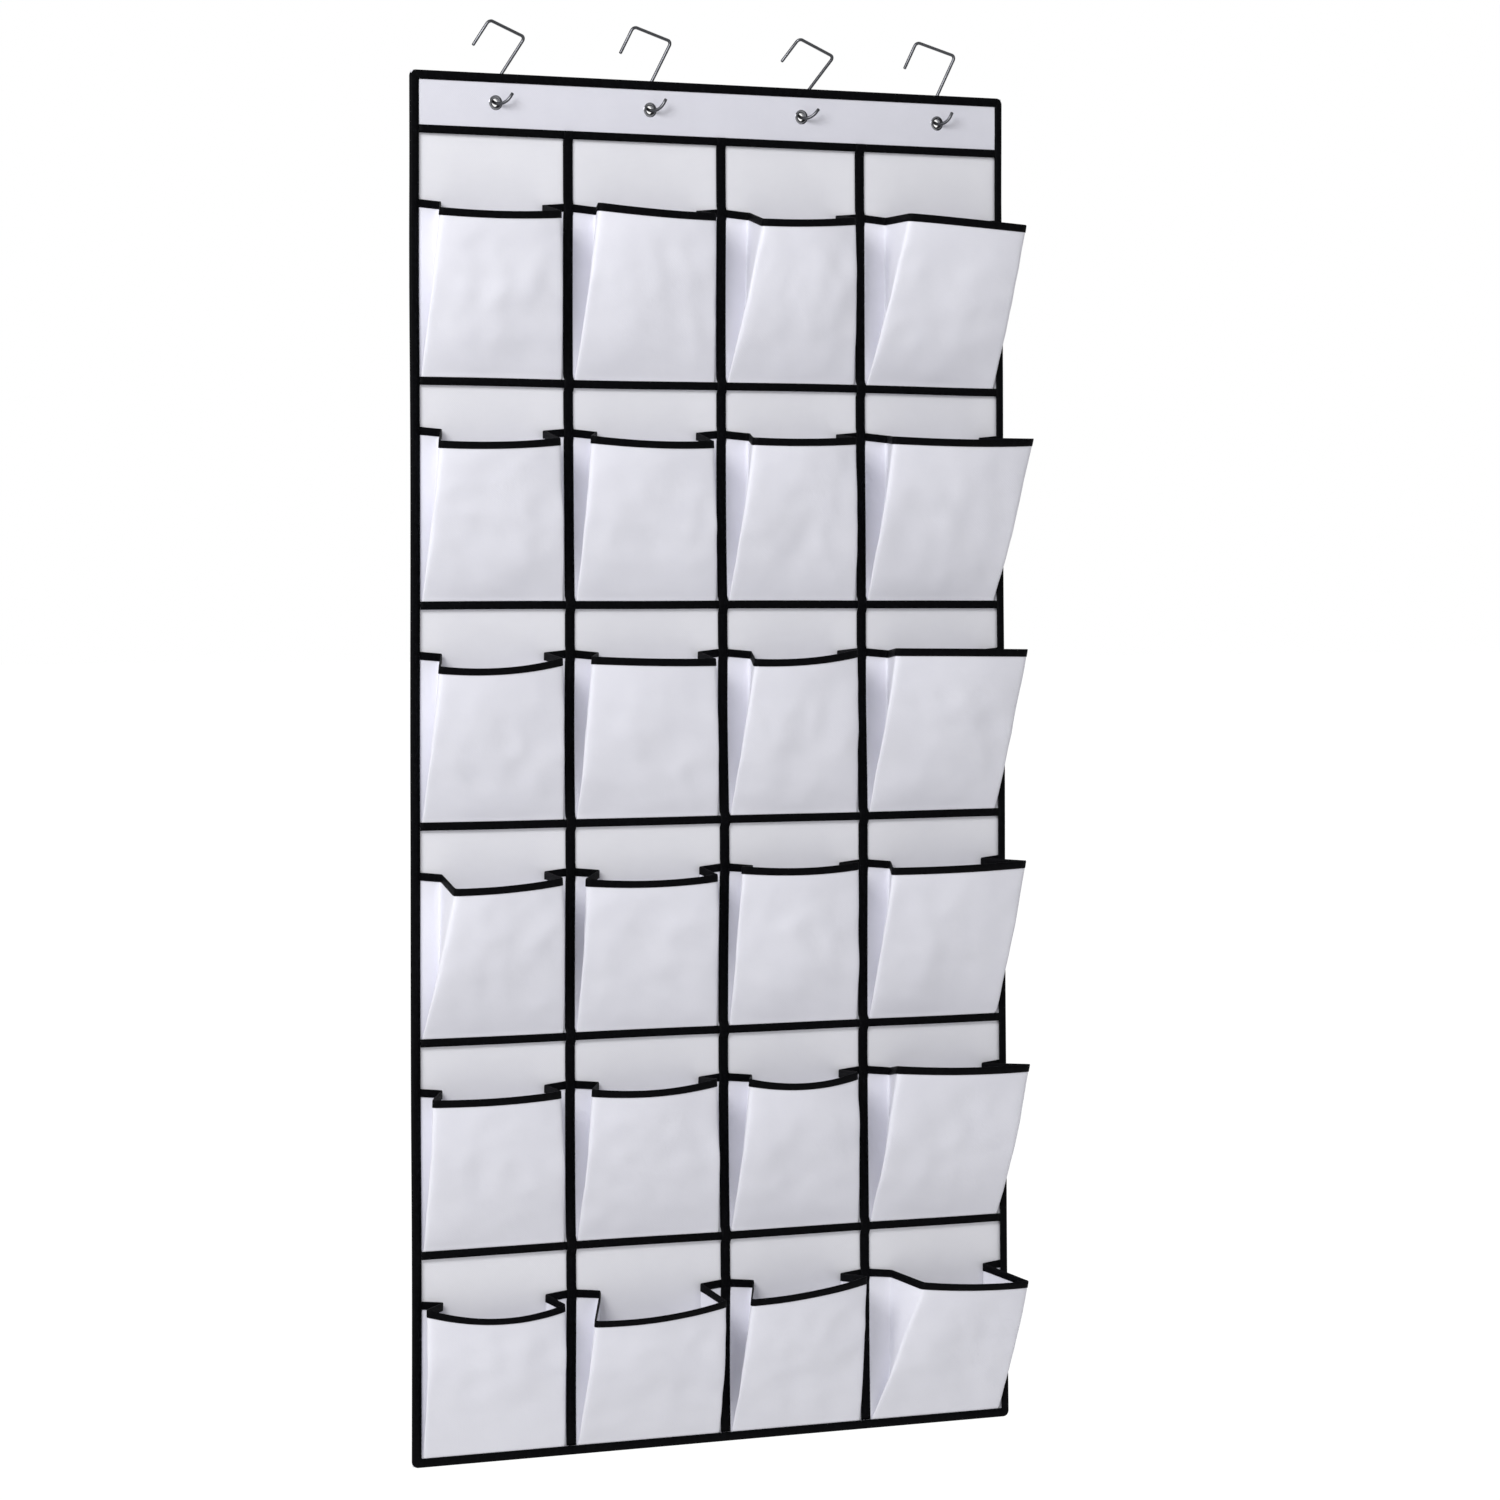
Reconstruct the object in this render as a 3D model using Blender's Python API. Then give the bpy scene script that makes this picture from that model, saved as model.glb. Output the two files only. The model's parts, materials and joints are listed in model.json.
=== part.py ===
"""Over-the-door shoe organizer: a hanging cloth panel with pleated pockets, taped seams and four door hooks.

Frame: +X along the width (to the right of somebody facing it), the pockets open forward along -Y and the
door is behind at +Y, +Z is up. The origin is where the object hangs: in the middle of its width, on the top
front edge of the door that the hooks sit on once they are turned upright.
"Forward" below is the distance in front of the panel's back face, and a "drop" is the distance below its
top edge. Lengths are metres and angles are degrees.
"""
import math

import bmesh
import bpy
from mathutils import Matrix, Vector

# ---- driving dimensions -------------------------------------------------------------------------------
WIDTH = 0.760                 # outer width over the edge binding
HEIGHT = 1.524                # outer height over the edge binding
GAP = 0.0003                  # clearance between pieces that touch
CLOTH = 0.0006                # pocket and header cloth, and every tape
PANEL = 0.0008                # back panel cloth

HEADER_TAPE_DROP = 0.0637     # centre of the tape that closes the header band, below the top edge
BAND_TUCK = 0.002             # the band's raw edge, below the middle of that tape
BOARD = 0.0012                # stiffening board inside the header band
BOARD_INSET = 0.003           # its edges, inside the panel's
FIRST_ROW_DROP = 0.3372       # centre of the tape under the first row of pockets
FIRST_POCKET_HEIGHT = 0.1975  # mouth of the first row above that tape
ROWS = 6
ROW_PITCH = 0.2445            # first to second row
ROW_PITCH_STEP = -0.0039      # each row is cut a little lower than the one above
ROW_GAP = 0.050               # bare panel between a row's tape and the mouths below it
COLUMN_SEAMS = (-0.379, -0.186, 0.008, 0.189, 0.379)
COLUMNS = len(COLUMN_SEAMS) - 1

BINDING_WIDTH = 0.010
ROW_TAPE_WIDTH = 0.009
COLUMN_TAPE_WIDTH = 0.012
RIM_TAPE_WIDTH = 0.008
TAPE_MARGIN = 0.001           # cloth tucked inside a tape's edge, or lying flat beyond it
PLEAT_MARGIN = 0.0017         # from a tape's edge to a pocket's front corner, where the pleats lie flat

FOLD_INSET = 0.033            # how far each side pleat runs in along the panel before it folds back
FOLD_FORWARD = 0.0062         # how far that fold stands off the panel at the mouth
FOLD_DROP = 0.003             # top of that fold, below the mouth's ends on the panel
PLEAT_OPEN = 0.002            # half the gap between a pleat's two layers at the mouth
MOUTH_BULGE = 0.006           # how far the middle of the mouth stands in front of its corners
CORNER_DROP = 0.010           # front corners of a mouth below its ends on the panel
MOUTH_SAG = 0.004             # middle of the mouth below its corners
MITRE_LIMIT = 0.35            # least cosine that a folded skin's corners are mitred for

# How each mouth hangs open: inset of the left corner, inset of the right corner, depth, all in mm.
MOUTHS = (
    ((7, 39, 62), (8, 40, 62), (22, 40, 62), (32, 2, 62)),
    ((6, 40, 60), (2, 38, 56), (10, 39, 60), (2, 2, 75)),
    ((6, 38, 60), (2, 37, 54), (11, 38, 60), (14, 2, 60)),
    ((24, 40, 62), (2, 28, 38), (2, 29, 42), (10, 2, 55)),
    ((2, 35, 50), (2, 37, 55), (4, 39, 58), (14, 2, 60)),
    ((2, 24, 35), (2, 29, 58), (4, 29, 58), (48, 2, 55)),
)

EYELET_X = (-0.276, -0.083, 0.112, 0.292)
EYELET_DROP = 0.032
EYELET_HOLE = 0.0046          # radius that the hook passes through
EYELET_BARREL = 0.0054
EYELET_FLANGE = 0.0085
EYELET_LIP = 0.0070           # barrel rolled over the washer behind
EYELET_LIP_THICKNESS = 0.0007
EYELET_DOME = 0.0009          # how far the flange stands off the header
EYELET_EDGE = 0.0005          # rounding of the flange's edges
EYELET_CUT = 0.0058           # radius of the hole cut through the header's layers
CUT_DEPTH = 0.020
EYELET_SIDES = 16

WIRE = 0.0018                 # radius of the hook wire
HOOK_J = 0.014                # radius of the lower bend that carries the panel
HOOK_TIP = 0.005              # straight end of the lower bend
HOOK_RISE = 0.080             # from the lower bend up to the bar over the door
HOOK_BAR = 0.056              # across the top of the door, wire centre to wire centre
HOOK_DROP = 0.034             # down the far side of the door
HOOK_CORNER = 0.005
HOOK_TWIST = 30.0             # about the shank
HOOK_LEAN = 11.0              # forward
HOOK_TILT = (31.0, 24.0, 36.0, 22.0)   # sideways, to the right

# ---- layers, counted forward from the back face -------------------------------------------------------
FLANGE_MID = PANEL + GAP + CLOTH / 2          # pocket cloth where it lies on the panel
LAYER = CLOTH + GAP                           # from one layer of cloth to the next
FRONT_MID = FLANGE_MID + 2 * LAYER            # front cloth where the pleats lie flat
TAPE_BACK = FRONT_MID + CLOTH / 2 + GAP       # row tapes and the front leg of the binding
TAPE_FRONT = TAPE_BACK + CLOTH
COLUMN_BACK = TAPE_FRONT + GAP
COLUMN_FRONT = COLUMN_BACK + CLOTH
BOARD_BACK = PANEL + GAP
BOARD_FRONT = BOARD_BACK + BOARD
BAND_BACK = BOARD_FRONT + GAP
BAND_FRONT = BAND_BACK + CLOTH
HEADER_TAPE_BACK = BAND_FRONT + GAP
HEADER_TAPE_FRONT = HEADER_TAPE_BACK + CLOTH
WRAP = CLOTH + GAP                            # panel edge inside the outer edge of the binding
EYELET_BACK = -(2 * GAP + CLOTH + EYELET_LIP_THICKNESS)
EYELET_FRONT = BAND_FRONT + GAP + EYELET_DOME
EYELET_MIDDLE = (EYELET_BACK + EYELET_FRONT) / 2

# ---- place of the panel in the frame ------------------------------------------------------------------
PANEL_Y = EYELET_MIDDLE - HOOK_J - WIRE       # its back face, in front of the door
EYELET_Z = WIRE - HOOK_RISE
TOP_Z = EYELET_Z + EYELET_DROP


def clear_scene():
    for obj in list(bpy.data.objects):
        bpy.data.objects.remove(obj)


def make_material(name, color, roughness, metallic=0.0):
    material = bpy.data.materials.new(name)
    material.use_nodes = True
    shader = material.node_tree.nodes["Principled BSDF"]
    shader.inputs["Base Color"].default_value = (*color, 1.0)
    shader.inputs["Roughness"].default_value = roughness
    shader.inputs["Metallic"].default_value = metallic
    return material


def add_object(name, mesh, material):
    obj = bpy.data.objects.new(name, mesh)
    mesh.materials.append(material)
    bpy.context.collection.objects.link(obj)
    return obj


def finish_mesh(name, bm, material):
    bmesh.ops.recalc_face_normals(bm, faces=bm.faces)
    if bm.calc_volume(signed=True) < 0:
        bmesh.ops.reverse_faces(bm, faces=bm.faces)
    mesh = bpy.data.meshes.new(name)
    bm.to_mesh(mesh)
    bm.free()
    return add_object(name, mesh, material)


def place(x, forward, z):
    """A point given by its forward distance from the panel's back face."""
    return (x, PANEL_Y - forward, z)


def row_drop(row):
    """Centre of the tape under a row of pockets; the last one is the bottom edge itself."""
    if row == ROWS - 1:
        return HEIGHT
    steps = row * ROW_PITCH + ROW_PITCH_STEP * row * (row - 1) / 2
    return FIRST_ROW_DROP + steps


def mouth_drop(row):
    """Where a row's mouths meet the panel."""
    if row == 0:
        return FIRST_ROW_DROP - FIRST_POCKET_HEIGHT
    return row_drop(row - 1) + ROW_GAP


# ---- flat pieces --------------------------------------------------------------------------------------
def sheet(name, left, right, top, bottom, back, front, material):
    """A flat layer of cloth or board between two x values and two drops."""
    bm = bmesh.new()
    rings = []
    for drop in (top, bottom):
        corners = ((left, back), (right, back), (right, front), (left, front))
        rings.append([bm.verts.new(place(x, forward, TOP_Z - drop)) for x, forward in corners])
        bm.faces.new(rings[-1])
    for i in range(4):
        j = (i + 1) % 4
        bm.faces.new((rings[0][i], rings[0][j], rings[1][j], rings[1][i]))
    return finish_mesh(name, bm, material)


def edge_binding(name, material):
    """One tape folded over all four edges: a U-shaped section that runs round a rectangle."""
    section = (
        (0.0, TAPE_FRONT), (BINDING_WIDTH, TAPE_FRONT), (BINDING_WIDTH, TAPE_BACK), (CLOTH, TAPE_BACK),
        (CLOTH, -GAP), (BINDING_WIDTH, -GAP), (BINDING_WIDTH, -GAP - CLOTH), (0.0, -GAP - CLOTH),
    )
    half = WIDTH / 2
    bottom = TOP_Z - HEIGHT
    corners = ((-1, TOP_Z, -1), (1, TOP_Z, -1), (1, bottom, 1), (-1, bottom, 1))
    bm = bmesh.new()
    rings = []
    for side, edge_z, inward in corners:
        ring = [bm.verts.new(place(side * (half - inset), forward, edge_z + inward * inset))
                for inset, forward in section]
        rings.append(ring)
    for i, ring in enumerate(rings):
        following = rings[(i + 1) % 4]
        for j in range(len(section)):
            k = (j + 1) % len(section)
            bm.faces.new((ring[j], ring[k], following[k], following[j]))
    return finish_mesh(name, bm, material)


# ---- pleated pockets ----------------------------------------------------------------------------------
def offset_line(points, distance):
    """The line at a distance to the right of a line of (x, forward) points, mitred at its corners."""
    line = [Vector(p) for p in points]
    result = []
    for i, point in enumerate(line):
        before = (point - line[i - 1]).normalized() if i > 0 else None
        after = (line[i + 1] - point).normalized() if i < len(line) - 1 else None
        before = before or after
        after = after or before
        mean = (before + after).normalized()
        normal = Vector((mean.y, -mean.x))
        stretch = 1.0 / max(mean.dot(before), MITRE_LIMIT)
        result.append(point + normal * distance * stretch)
    return result


def seam_cover(column_edge):
    """How much of a pocket's side lies under the binding or under half a column tape."""
    outer = column_edge in (0, COLUMNS)
    return BINDING_WIDTH if outer else COLUMN_TAPE_WIDTH / 2


def pocket_levels(row, column):
    """The pocket's cloth as levels of (x, forward, z) points, from its bottom edge to its mouth.

    Each level runs from the left seam into the pleat, back out to the left front corner, across the
    front and through the right pleat to the right seam. The first two levels lie flat, the third is
    the lower edge of the tape along the mouth and the last is the mouth.
    """
    left = COLUMN_SEAMS[column] + GAP / 2
    right = COLUMN_SEAMS[column + 1] - GAP / 2
    left_inset, right_inset, depth = (value / 1000 for value in MOUTHS[row][column])
    seam = TOP_Z - row_drop(row)
    bottom = seam - ROW_TAPE_WIDTH / 2 + TAPE_MARGIN
    flat_top = seam + ROW_TAPE_WIDTH / 2 + TAPE_MARGIN
    if row == ROWS - 1:
        bottom = seam + WRAP
        flat_top = seam + BINDING_WIDTH + TAPE_MARGIN
    mouth = TOP_Z - mouth_drop(row)

    def side(seam, direction, cover, corner_inset, spread, fold_forward, corner_forward, heights):
        seam_z, fold_z, corner_z = heights
        fold_x = seam + direction * FOLD_INSET
        corner_x = seam + direction * max(corner_inset, cover)
        return [
            (seam, FLANGE_MID, seam_z),
            (fold_x, fold_forward - spread, fold_z),
            (fold_x, fold_forward + spread, fold_z),
            (corner_x, corner_forward - 2 * spread, corner_z),
            (corner_x, corner_forward, corner_z),
        ]

    def level(heights, spread, covers, insets, fold_forward, front, middle):
        start = side(left, 1, covers[0], insets[0], spread, fold_forward, front, heights[:3])
        end = side(right, -1, covers[1], insets[1], spread, fold_forward, front, heights[:3])
        centre = ((left + right) / 2, middle, heights[3])
        return start + [centre] + end[::-1]

    covers = (seam_cover(column) + PLEAT_MARGIN, seam_cover(column + 1) + PLEAT_MARGIN)
    flat = dict(spread=LAYER / 2, covers=covers, insets=(0.0, 0.0), fold_forward=FLANGE_MID + LAYER / 2,
                front=FRONT_MID, middle=FRONT_MID)
    open_heights = (mouth, mouth - FOLD_DROP, mouth - CORNER_DROP, mouth - CORNER_DROP - MOUTH_SAG)
    flat_level = level(heights=(flat_top,) * 4, **flat)
    mouth_level = level(heights=open_heights, spread=PLEAT_OPEN, covers=(0.0, 0.0), middle=depth + MOUTH_BULGE,
                        insets=(left_inset, right_inset), fold_forward=FOLD_FORWARD, front=depth)
    under_tape = 1 - RIM_TAPE_WIDTH / (mouth - flat_top)
    return [level(heights=(bottom,) * 4, **flat), flat_level,
            blend_level(flat_level, mouth_level, under_tape), mouth_level]


def loft(name, levels, near, far, material):
    """A solid skin between two offsets of a folded line, lofted from level to level.

    Both sides of the skin split each of their twisted panels along the same diagonal, so they never cross.
    """
    bm = bmesh.new()
    rings = []
    for points in levels:
        plan = [(x, forward) for x, forward, _ in points]
        heights = [z for _, _, z in points]
        sides = []
        for distance in (near, far):
            line = offset_line(plan, distance)
            sides.append([bm.verts.new(place(p.x, p.y, z)) for p, z in zip(line, heights)])
        rings.append(sides)
    count = len(levels[0])
    for lower, upper in zip(rings, rings[1:]):
        for side in (0, 1):
            for i in range(count - 1):
                bm.faces.new((lower[side][i], lower[side][i + 1], upper[side][i + 1]))
                bm.faces.new((lower[side][i], upper[side][i + 1], upper[side][i]))
        for i in (0, count - 1):
            bm.faces.new((lower[0][i], upper[0][i], upper[1][i], lower[1][i]))
    for ring in (rings[0], rings[-1]):
        for i in range(count - 1):
            bm.faces.new((ring[0][i], ring[0][i + 1], ring[1][i + 1], ring[1][i]))
    return finish_mesh(name, bm, material)


def blend_level(lower, upper, share):
    return [tuple(a + (b - a) * share for a, b in zip(p, q)) for p, q in zip(lower, upper)]


def rim_levels(row):
    """Two levels of the line along a whole row's mouths: the tape's lower edge and its upper edge."""
    result = [[], []]
    for column in range(COLUMNS):
        for line, level in zip(result, pocket_levels(row, column)[-2:]):
            line.extend(level[1:] if line else level)
    return result


# ---- eyelets and hooks --------------------------------------------------------------------------------
def eyelet_middle(x):
    """The middle of the eyelet's bore."""
    return Vector(place(x, EYELET_MIDDLE, EYELET_Z))


def turned_ring(name, centre_x, profile, material):
    """A closed (radius, forward) profile turned about an eyelet's axis."""
    bm = bmesh.new()
    rings = []
    for step in range(EYELET_SIDES):
        angle = 2 * math.pi * step / EYELET_SIDES
        across, up = math.cos(angle), math.sin(angle)
        rings.append([bm.verts.new(place(centre_x + radius * across, forward, EYELET_Z + radius * up))
                      for radius, forward in profile])
    for i, ring in enumerate(rings):
        following = rings[(i + 1) % EYELET_SIDES]
        for j in range(len(profile)):
            k = (j + 1) % len(profile)
            bm.faces.new((ring[j], ring[k], following[k], following[j]))
    return finish_mesh(name, bm, material)


def eyelet_profile():
    lip_front = EYELET_BACK + EYELET_LIP_THICKNESS
    flange_back = EYELET_FRONT - EYELET_DOME
    rounded = EYELET_FRONT - EYELET_EDGE
    return (
        (EYELET_HOLE, EYELET_BACK), (EYELET_LIP, EYELET_BACK), (EYELET_LIP, lip_front),
        (EYELET_BARREL, lip_front), (EYELET_BARREL, flange_back), (EYELET_FLANGE, flange_back),
        (EYELET_FLANGE, rounded), (EYELET_FLANGE - EYELET_EDGE, EYELET_FRONT),
        (EYELET_HOLE + EYELET_EDGE, EYELET_FRONT), (EYELET_HOLE, rounded),
    )


def washer_profile():
    inner = EYELET_BARREL + GAP
    return ((inner, -GAP), (inner, -GAP - CLOTH), (EYELET_FLANGE, -GAP - CLOTH), (EYELET_FLANGE, -GAP))


def eyelet_cutters():
    """One guide that cuts the four eyelet holes through the layers of the header."""
    bm = bmesh.new()
    for x in EYELET_X:
        upright = Matrix.Translation(eyelet_middle(x)) @ Matrix.Rotation(math.radians(90), 4, "X")
        bmesh.ops.create_cone(bm, cap_ends=True, segments=EYELET_SIDES, radius1=EYELET_CUT,
                              radius2=EYELET_CUT, depth=CUT_DEPTH, matrix=upright)
    mesh = bpy.data.meshes.new("eyelet_cutters")
    bm.to_mesh(mesh)
    bm.free()
    cutter = bpy.data.objects.new("eyelet_cutters", mesh)
    bpy.context.collection.objects.link(cutter)
    cutter.hide_render = True
    cutter.display_type = "WIRE"
    return cutter


def cut_with(obj, cutter):
    modifier = obj.modifiers.new("eyelet holes", "BOOLEAN")
    modifier.operation = "DIFFERENCE"
    modifier.object = cutter
    modifier.solver = "EXACT"


def arc(centre, radius, start, end, steps):
    """Points on an arc, as (forward, up), with angles from the forward direction."""
    points = []
    for i in range(steps + 1):
        angle = math.radians(start + (end - start) * i / steps)
        points.append((centre[0] + radius * math.cos(angle), centre[1] + radius * math.sin(angle)))
    return points


def hook_outline():
    """The wire's centre line in its own plane, from the front tip round to the end behind the door.

    (0, 0) is where the wire passes through the eyelet, at the bottom of its lower bend.
    """
    shank = -HOOK_J
    far = shank - HOOK_BAR
    r = HOOK_CORNER
    line = [(HOOK_J, HOOK_J + HOOK_TIP)]
    line += arc((0.0, HOOK_J), HOOK_J, 0, -180, 10)
    line += arc((shank - r, HOOK_RISE - r), r, 0, 90, 4)
    line += arc((far + r, HOOK_RISE - r), r, 90, 180, 4)
    line.append((far, HOOK_RISE - HOOK_DROP))
    return line


def hook_turn(tilt):
    """Twist about the shank, then lean forward, then tilt sideways."""
    twist = Matrix.Rotation(math.radians(HOOK_TWIST), 4, "Z")
    lean = Matrix.Rotation(math.radians(HOOK_LEAN), 4, "X")
    return Matrix.Rotation(math.radians(tilt), 4, "Y") @ lean @ twist


def add_hook(name, x, tilt, material):
    curve = bpy.data.curves.new(name, "CURVE")
    curve.dimensions = "3D"
    curve.bevel_depth = WIRE
    curve.bevel_resolution = 2
    curve.render_resolution_u = 0
    curve.use_fill_caps = True
    outline = hook_outline()
    spline = curve.splines.new("POLY")
    spline.points.add(len(outline) - 1)
    for point, (forward, up) in zip(spline.points, outline):
        point.co = (0.0, -forward, up, 1.0)
    hook = add_object(name, curve, material)
    hook.matrix_world = Matrix.Translation(eyelet_middle(x)) @ hook_turn(tilt)
    return hook


# ---- the object ---------------------------------------------------------------------------------------
def build_header(cloth, tape, board, metal):
    half = WIDTH / 2
    tape_top = HEADER_TAPE_DROP - ROW_TAPE_WIDTH / 2
    panel = sheet("back_panel", WRAP - half, half - WRAP, WRAP, HEIGHT - WRAP, 0.0, PANEL, cloth)
    band = sheet("header_band", WRAP - half, half - WRAP, WRAP, HEADER_TAPE_DROP + BAND_TUCK,
                 BAND_BACK, BAND_FRONT, cloth)
    stiffener = sheet("header_stiffener", BOARD_INSET - half, half - BOARD_INSET, BOARD_INSET, tape_top,
                      BOARD_BACK, BOARD_FRONT, board)
    cutter = eyelet_cutters()
    for layer in (panel, band, stiffener):
        cut_with(layer, cutter)
    inner = half - BINDING_WIDTH - GAP
    sheet("header_tape", -inner, inner, tape_top, tape_top + ROW_TAPE_WIDTH,
          HEADER_TAPE_BACK, HEADER_TAPE_FRONT, tape)
    for number, (x, tilt) in enumerate(zip(EYELET_X, HOOK_TILT), start=1):
        turned_ring(f"eyelet_{number}", x, eyelet_profile(), metal)
        turned_ring(f"eyelet_washer_{number}", x, washer_profile(), metal)
        add_hook(f"door_hook_{number}", x, tilt, metal)


def build_pockets(cloth, tape):
    half_cloth = CLOTH / 2
    inner = WIDTH / 2 - BINDING_WIDTH - GAP
    for row in range(ROWS):
        for column in range(COLUMNS):
            name = f"pocket_r{row + 1}_c{column + 1}"
            loft(name, pocket_levels(row, column), half_cloth, -half_cloth, cloth)
        loft(f"pocket_rim_tape_{row + 1}", rim_levels(row), -half_cloth - GAP, -half_cloth - GAP - CLOTH, tape)
        if row < ROWS - 1:
            top = row_drop(row) - ROW_TAPE_WIDTH / 2
            sheet(f"row_tape_{row + 1}", -inner, inner, top, top + ROW_TAPE_WIDTH,
                  TAPE_BACK, TAPE_FRONT, tape)
    for number, x in enumerate(COLUMN_SEAMS[1:-1], start=1):
        sheet(f"column_tape_{number}", x - COLUMN_TAPE_WIDTH / 2, x + COLUMN_TAPE_WIDTH / 2,
              HEADER_TAPE_DROP - ROW_TAPE_WIDTH / 2, HEIGHT - BINDING_WIDTH - GAP,
              COLUMN_BACK, COLUMN_FRONT, tape)


def main():
    clear_scene()
    cloth = make_material("pale cloth", (0.76, 0.76, 0.82), 0.75)
    tape = make_material("black tape", (0.010, 0.010, 0.013), 0.65)
    board = make_material("grey board", (0.35, 0.33, 0.30), 0.9)
    metal = make_material("bright steel", (0.55, 0.55, 0.57), 0.25, 1.0)
    build_header(cloth, tape, board, metal)
    build_pockets(cloth, tape)
    edge_binding("edge_binding", tape)


main()
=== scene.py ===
# %% [markdown]
# # An over-the-door shoe organizer
# A pale cloth panel carries 24 pleated pockets. Black tape covers every seam and every raw edge, and
# four bent wire hooks carry the panel from eyelets in a stiffened header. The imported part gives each
# piece its place and size, and this file gives it the shape and the finish of real cloth and wire.
#
# The first cell loads that part. Everything is in metres, +Z is up and the pockets open towards -Y.
# %% The frame
import json
import math

import bmesh
import bpy
from mathutils import Matrix, Vector, noise


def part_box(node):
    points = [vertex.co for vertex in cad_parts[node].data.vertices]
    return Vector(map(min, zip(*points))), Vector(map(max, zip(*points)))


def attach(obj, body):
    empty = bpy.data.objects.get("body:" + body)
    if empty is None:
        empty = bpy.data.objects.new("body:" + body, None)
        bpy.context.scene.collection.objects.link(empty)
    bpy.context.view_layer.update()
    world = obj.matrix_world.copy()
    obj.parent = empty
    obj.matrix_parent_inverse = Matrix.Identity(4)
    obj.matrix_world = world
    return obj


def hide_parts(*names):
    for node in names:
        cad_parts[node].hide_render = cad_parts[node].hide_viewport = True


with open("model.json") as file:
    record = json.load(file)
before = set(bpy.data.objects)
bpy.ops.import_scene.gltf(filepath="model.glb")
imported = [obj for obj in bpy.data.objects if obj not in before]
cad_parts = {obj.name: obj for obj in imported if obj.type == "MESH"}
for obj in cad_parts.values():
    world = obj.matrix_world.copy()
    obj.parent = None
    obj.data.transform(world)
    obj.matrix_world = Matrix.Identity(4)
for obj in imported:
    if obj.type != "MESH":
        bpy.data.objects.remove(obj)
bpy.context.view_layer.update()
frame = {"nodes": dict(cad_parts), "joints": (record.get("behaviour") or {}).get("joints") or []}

# %% [markdown]
# ## Where things are
# A real organizer is cut and sewn flat, so the useful numbers are edges, seams and layers. They are
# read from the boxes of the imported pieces. "Forward" is the distance in front of the panel's back face.
# %% Edges, seams and layers
edge_low, edge_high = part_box("edge_binding")
PANEL_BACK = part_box("back_panel")[1].y
LEFT, RIGHT, BOTTOM, TOP = edge_low.x, edge_high.x, edge_low.z, edge_high.z
ROWS, COLUMNS = 6, 4
BOARD_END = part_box("header_tape")[1].z        # the stiff header reaches down to here
HOOKS = range(1, 5)


def at(x, forward, z):
    return Vector((x, PANEL_BACK - forward, z))


def smooth_step(value):
    value = min(max(value, 0.0), 1.0)
    return value * value * (3 - 2 * value)


print("panel", round(RIGHT - LEFT, 4), "wide and", round(TOP - BOTTOM, 4), "high")

# %% [markdown]
# ## How the whole sheet hangs
# Sewn cloth never hangs perfectly flat or square. The header is kept straight by its board. Below it
# the panel flares about a centimetre to the right, its seams wander and it stands in faint waves. One
# function moves every point of every cloth piece, so that cloth and tape stay together. Moving each
# piece with its own noise would open gaps between them.
# %% The hang of the cloth
FLARE = 0.012                 # the right edge, further out at the bottom than under the header
LOOSE_LENGTH = 0.12           # over this length below the header the cloth comes loose
WANDER = 0.0022               # seams, side to side
WAVE = 0.0022                 # the panel, towards and away from the door


def hang(point):
    below = BOARD_END - point.z
    loose = smooth_step(below / LOOSE_LENGTH)
    across = (point.x - LEFT) / (RIGHT - LEFT)
    wander = noise.noise(Vector((point.x * 3.1, 0.4, point.z * 5.5)))
    wave = noise.noise(Vector((point.x * 2.6, 7.3, point.z * 3.4)))
    lift = noise.noise(Vector((point.x * 4.2, 3.9, point.z * 2.5)))
    inner = 4 * across * (1 - across)
    return point + Vector((
        loose * (FLARE * across * below / (TOP - BOTTOM) + WANDER * wander * inner),
        loose * WAVE * wave,
        loose * WANDER * lift * 0.6 * smooth_step((point.z - BOTTOM) / 0.08),
    ))


print("flare at the bottom right corner", round(hang(at(RIGHT, 0, BOTTOM)).x - RIGHT, 4))

# %% [markdown]
# ## Cloth from a flat grid
# Every cloth piece starts as what it is in the workshop: a flat rectangle. `create_grid` makes it, its
# flat position becomes the UV map in metres, and only then is each vertex put in its hung place.
# Weave and stitches that read the UV map therefore have their true size and follow every fold.
# %% Grid, skin and finish helpers
def flat_grid(columns, rows, size, place, closed=False):
    """A grid of cloth of that flat size, each vertex put where place(column, row) says."""
    bm = bmesh.new()
    bmesh.ops.create_grid(bm, x_segments=columns, y_segments=rows, size=0.5)
    uv = bm.loops.layers.uv.new("UVMap")
    for face in bm.faces:
        for loop in face.loops:
            share = loop.vert.co
            loop[uv].uv = ((share.x + 0.5) * size[0], (share.y + 0.5) * size[1])
    for vert in bm.verts:
        column = round((vert.co.x + 0.5) * columns)
        row = round((vert.co.y + 0.5) * rows)
        vert.co = hang(place(column, row))
    if closed:
        bmesh.ops.remove_doubles(bm, verts=bm.verts, dist=1e-5)
    return bm


def add_piece(name, bm, material, body="organizer", stands_for=()):
    mesh = bpy.data.meshes.new(name)
    bm.to_mesh(mesh)
    bm.free()
    mesh.materials.append(material)
    mesh.shade_smooth()
    obj = bpy.data.objects.new(name, mesh)
    bpy.context.scene.collection.objects.link(obj)
    return settle(obj, body, stands_for)


def settle(obj, body, stands_for):
    """Tells the frame what the piece rides on and what it stands for."""
    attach(obj, body)
    if stands_for:
        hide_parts(*stands_for)
    return obj


def thicken(obj, thickness):
    skin = obj.modifiers.new("skin", "SOLIDIFY")
    skin.thickness = thickness
    skin.offset = 0.0
    skin.use_even_offset = False
    return obj


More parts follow.
